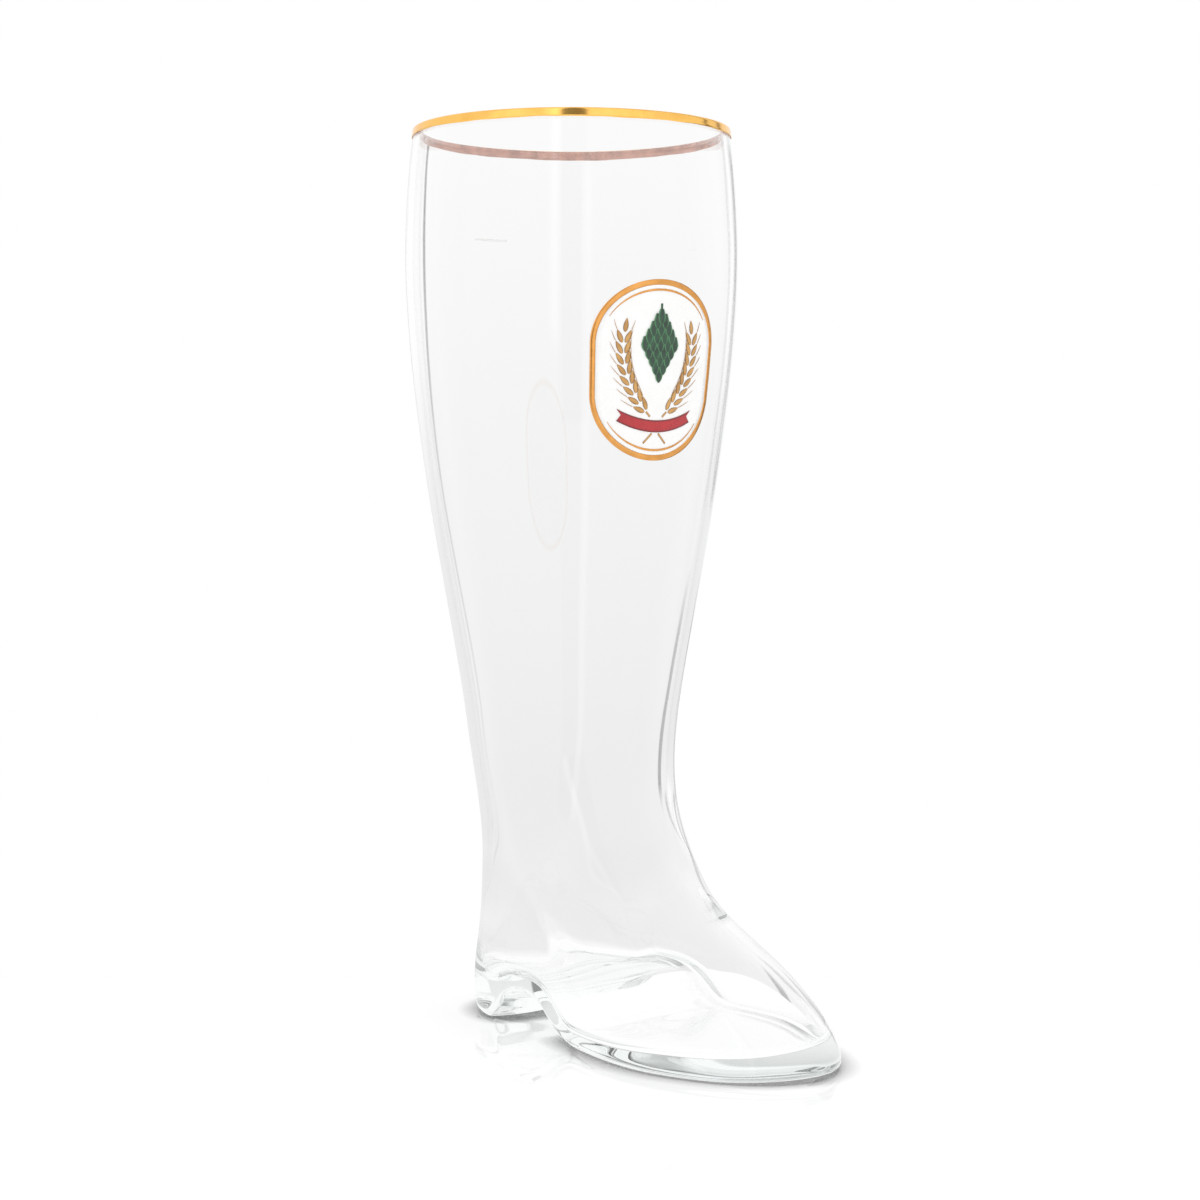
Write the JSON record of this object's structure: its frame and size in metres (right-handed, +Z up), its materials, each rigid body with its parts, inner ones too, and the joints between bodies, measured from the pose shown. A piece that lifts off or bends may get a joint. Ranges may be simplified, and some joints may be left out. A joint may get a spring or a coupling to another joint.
{
  "type": "boot-shaped beer glass",
  "caption": "Tall drinking glass blown in the shape of a riding boot, with a heel, an arch, a gilded lip and an oval enamel badge on the shin.",
  "frame": {"origin": "on the floor, under the middle of the bounding box", "axes": "+X from the heel to the toe, +Y to the left of a wearer looking at the toe, +Z up from the sole to the lip"},
  "size_m": [0.2055, 0.1226, 0.3252],
  "materials": {
    "boot_glass": "clear blown soda-lime glass, fire-polished",
    "gold": "burnished liquid gold, fired on the lip",
    "white_enamel": "fired white enamel, satin",
    "gold_enamel": "fired gold print, satin",
    "hop_enamel": "fired dark green enamel, satin",
    "barley_enamel": "fired gold print, satin",
    "red_enamel": "fired red enamel, satin",
    "mark_enamel": "fired pale enamel, matt"
  },
  "bodies": {
    "root": {"boot_glass": "boot_glass", "rim_gilding": "gold", "badge_ground": "white_enamel", "badge_border": "gold_enamel", "badge_line": "gold_enamel", "hop_cone": "hop_enamel", "barley_ears": "barley_enamel", "ribbon": "red_enamel", "fill_line": "mark_enamel"}
  },
  "joints": []
}
